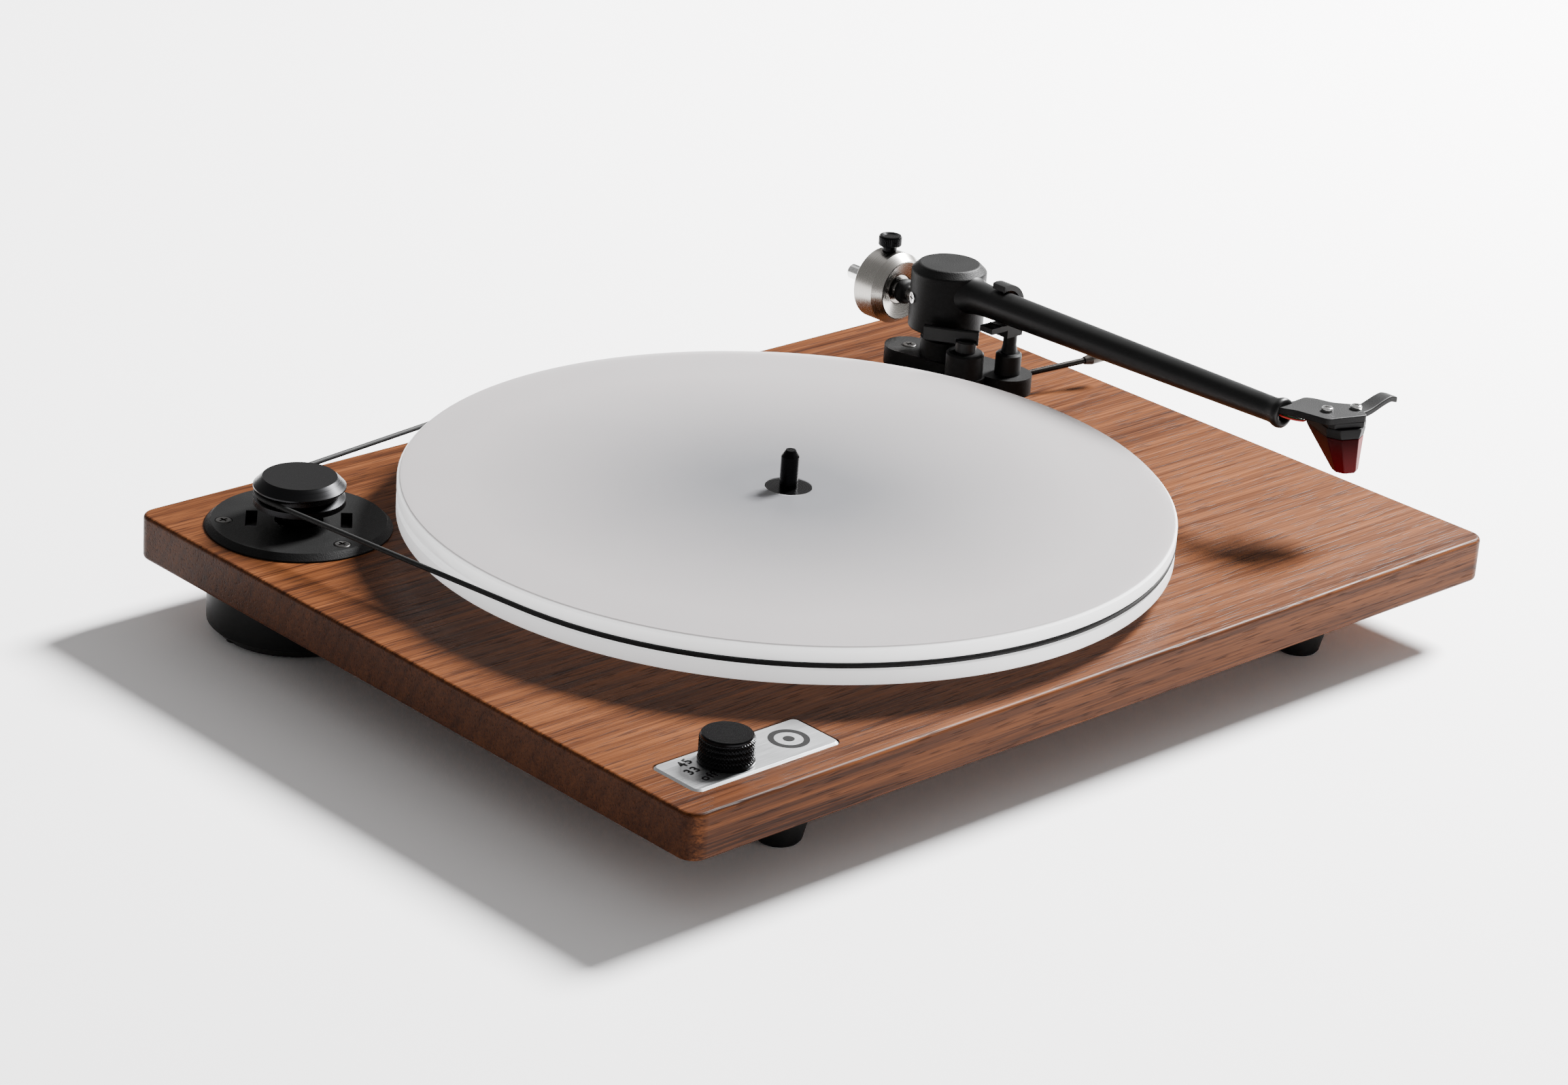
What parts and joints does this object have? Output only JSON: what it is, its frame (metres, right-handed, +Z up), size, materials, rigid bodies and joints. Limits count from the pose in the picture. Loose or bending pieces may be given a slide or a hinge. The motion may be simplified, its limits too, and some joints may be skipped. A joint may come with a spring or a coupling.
{
  "type": "turntable",
  "caption": "Belt-drive record player: slab plinth on feet, thick platter, motor pulley with round belt, knob, and a pivoted tonearm with counterweight, arm rest and cueing lift.",
  "frame": {"origin": "on the surface the turntable stands on, under the middle of the plinth's outline", "axes": "+X towards the tonearm side, -Y towards the front edge with the control knob, +Z up"},
  "size_m": [0.425, 0.318, 0.0979],
  "materials": {
    "walnut": "satin lacquer",
    "frosted_acrylic": "matt white acrylic",
    "black_anodised": "black anodised, satin",
    "brushed_aluminium": "brushed",
    "turned_steel": "turned, satin",
    "polished_steel": "polished",
    "blackened_steel": "black oxide",
    "dark_steel": "satin, dark",
    "galvanised_steel": "zinc plated",
    "black_powder_coat": "fine textured powder coat",
    "black_satin_coat": "smooth satin",
    "black_plastic": "moulded, satin",
    "red_plastic": "dark red, polished",
    "rubber": "matt",
    "brass": "turned",
    "board_green": "solder mask",
    "lead_red": "insulation",
    "lead_green": "insulation",
    "lead_white": "insulation",
    "lead_blue": "insulation"
  },
  "bodies": {
    "base": {"plinth": "walnut", "foot_front_left": "rubber", "foot_front_right": "rubber", "foot_rear_right": "rubber", "foot_screws": "galvanised_steel", "bearing_sleeve": "brass", "bearing_cap": "blackened_steel", "thrust_ball": "polished_steel", "motor_plate": "black_powder_coat", "motor_plate_screws": "blackened_steel", "motor_pod": "black_plastic", "pod_screws": "galvanised_steel", "pod_pad": "rubber", "motor_case": "galvanised_steel", "motor_grommets": "rubber", "drive_belt": "rubber", "control_plate": "brushed_aluminium", "switch_body": "black_plastic", "driver_board": "board_green", "rca_left_jack": "brass", "rca_right_jack": "brass", "dc_jack": "black_plastic", "bay_lid": "black_plastic", "lid_screws": "galvanised_steel", "arm_riser": "black_powder_coat", "arm_base": "black_powder_coat", "arm_stem": "galvanised_steel", "arm_nut": "galvanised_steel", "yaw_bearings": "polished_steel", "arm_base_screw": "blackened_steel", "arm_rest": "black_plastic", "cue_barrel": "black_powder_coat", "cue_hinge_pin": "polished_steel"},
    "platter": {"platter": "frosted_acrylic", "platter_hub": "black_anodised", "spindle": "black_anodised"},
    "pulley": {"pulley": "black_anodised", "motor_shaft": "polished_steel"},
    "knob": {"knob": "black_anodised", "switch_shaft": "brass"},
    "yoke": {"arm_yoke": "black_satin_coat"},
    "tonearm": {"tonearm_wand": "black_powder_coat", "pivot_screws": "polished_steel", "weight_stub": "polished_steel", "isolator_ring": "rubber", "cartridge_spacer": "black_plastic", "cartridge_body": "black_plastic", "cantilever": "brushed_aluminium", "stylus_unit": "red_plastic", "cartridge_screws": "polished_steel", "head_lead_red": "lead_red", "head_lead_green": "lead_green", "head_lead_white": "lead_white", "head_lead_blue": "lead_blue"},
    "counterweight": {"counterweight": "turned_steel"},
    "thumbscrew": {"thumbscrew": "black_anodised"},
    "cue_lever": {"cue_lever": "dark_steel", "lever_grip": "dark_steel"},
    "cue_lift": {"lift_piston": "black_satin_coat", "lift_bar": "black_satin_coat"}
  },
  "joints": [
    {"name": "platter_spin", "type": "hinge", "parent": "base", "child": "platter", "pos_m": [-0.0232, -0.0011, 0.0491], "axis": [0, 0, 1], "continuous": true},
    {"name": "pulley_spin", "type": "hinge", "parent": "base", "child": "pulley", "pos_m": [-0.17, 0.1131, 0.05], "axis": [0, 0, 1], "continuous": true},
    {"name": "knob_turn", "type": "hinge", "parent": "base", "child": "knob", "pos_m": [-0.1748, -0.1336, 0.0427], "axis": [0, 0, 1], "range_deg": [-51, 0]},
    {"name": "arm_swing", "type": "hinge", "parent": "base", "child": "yoke", "pos_m": [0.152, 0.0886, 0.062], "axis": [0, 0, 1], "range_deg": [-52, 0]},
    {"name": "arm_tilt", "type": "hinge", "parent": "yoke", "child": "tonearm", "pos_m": [0.152, 0.08854, 0.0806], "axis": [-0.9178, 0.3971, -0.0057], "range_deg": [-1, 1.8]},
    {"name": "weight_slide", "type": "slide", "parent": "tonearm", "child": "counterweight", "axis": [0, 0.9999, -0.0143], "range_m": [0, 0.012]},
    {"name": "thumbscrew_turn", "type": "hinge", "parent": "counterweight", "child": "thumbscrew", "pos_m": [0.152, 0.12446, 0.07479], "axis": [0, 0.0143, 0.9999], "range_deg": [-180, 180]},
    {"name": "lift_slide", "type": "slide", "parent": "base", "child": "cue_lift", "axis": [0, 0, 1], "range_m": [0, 0.0033]},
    {"name": "lever_turn", "type": "hinge", "parent": "base", "child": "cue_lever", "pos_m": [0.16004, 0.0612, 0.0496], "axis": [0.2419, 0.9703, 0], "range_deg": [0, 9.5]}
  ],
  "couplings": [
    {"joint": "pulley_spin", "follows": "platter_spin", "ratio": 9.0121},
    {"joint": "lever_turn", "follows": "lift_slide", "rad_per_m": 50.2}
  ]
}
